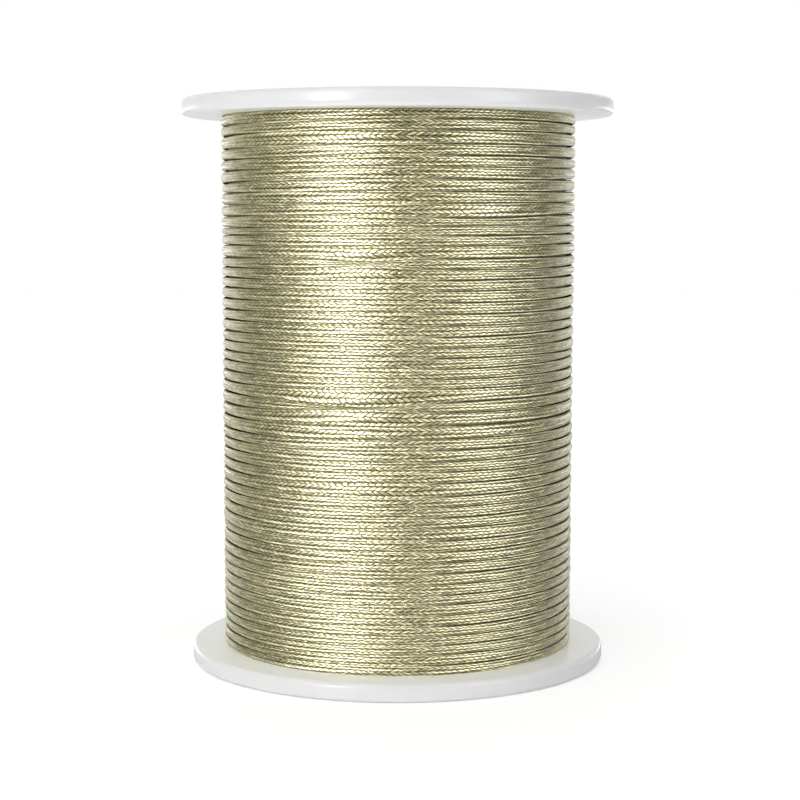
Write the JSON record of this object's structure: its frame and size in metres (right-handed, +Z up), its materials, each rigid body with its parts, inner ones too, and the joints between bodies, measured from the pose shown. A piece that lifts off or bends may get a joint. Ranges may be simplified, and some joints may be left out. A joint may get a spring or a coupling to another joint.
{
  "type": "satin cord wound on a flanged plastic spool",
  "caption": "Fine braided satin cord wound full on a round-flanged white plastic spool with an open bore.",
  "frame": {"origin": "middle of the lower flange's face, on which the spool stands", "axes": "+Z up along the spool's axis; -Y towards the viewer of the picture"},
  "size_m": [0.0564, 0.0564, 0.0737],
  "materials": {
    "spool_plastic": "smooth moulded white plastic, low gloss",
    "cord_satin": "shiny braided satin cord, pale olive gold"
  },
  "bodies": {
    "root": {"spool": "spool_plastic", "winding": "cord_satin"}
  },
  "joints": []
}
